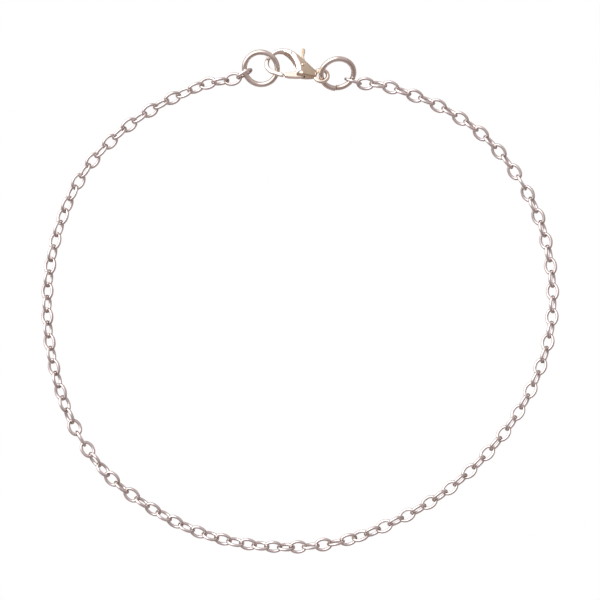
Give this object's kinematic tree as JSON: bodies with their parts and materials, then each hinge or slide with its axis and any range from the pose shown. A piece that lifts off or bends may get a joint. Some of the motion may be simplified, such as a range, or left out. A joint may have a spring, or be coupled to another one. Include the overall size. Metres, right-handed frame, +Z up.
{
  "type": "chain bracelet",
  "caption": "Fine oval link cable chain bracelet, closed by a small lobster clasp and two open jump rings, lying in a ring on a flat surface.",
  "frame": {"origin": "on the surface that the bracelet lies on, under the middle of its bounding box", "axes": "+X across the ring of chain, from the left jump ring to the right one; +Y to the side where the clasp is; +Z up, out of the surface"},
  "size_m": [0.0702, 0.0684, 0.0035],
  "materials": {
    "clasp_plate": "cast brass, bright nickel plated, polished",
    "chain_plate": "drawn brass wire, bright silver plated, polished"
  },
  "bodies": {
    "bracelet": {"clasp_body": "clasp_plate", "pivot_pin": "clasp_plate", "jump_ring_left": "chain_plate", "jump_ring_right": "chain_plate", "chain_left": "chain_plate", "chain_right": "chain_plate"},
    "lever": {"clasp_lever": "clasp_plate"}
  },
  "joints": [
    {"name": "lever_hinge", "type": "hinge", "parent": "bracelet", "child": "lever", "pos_m": [0.00032, 0.03158, 0.00161], "axis": [-0.0492, -0.3389, -0.9395], "range_deg": [0, 24], "stiffness_Nm_per_rad": 0.001, "springref_deg": -28.65}
  ]
}
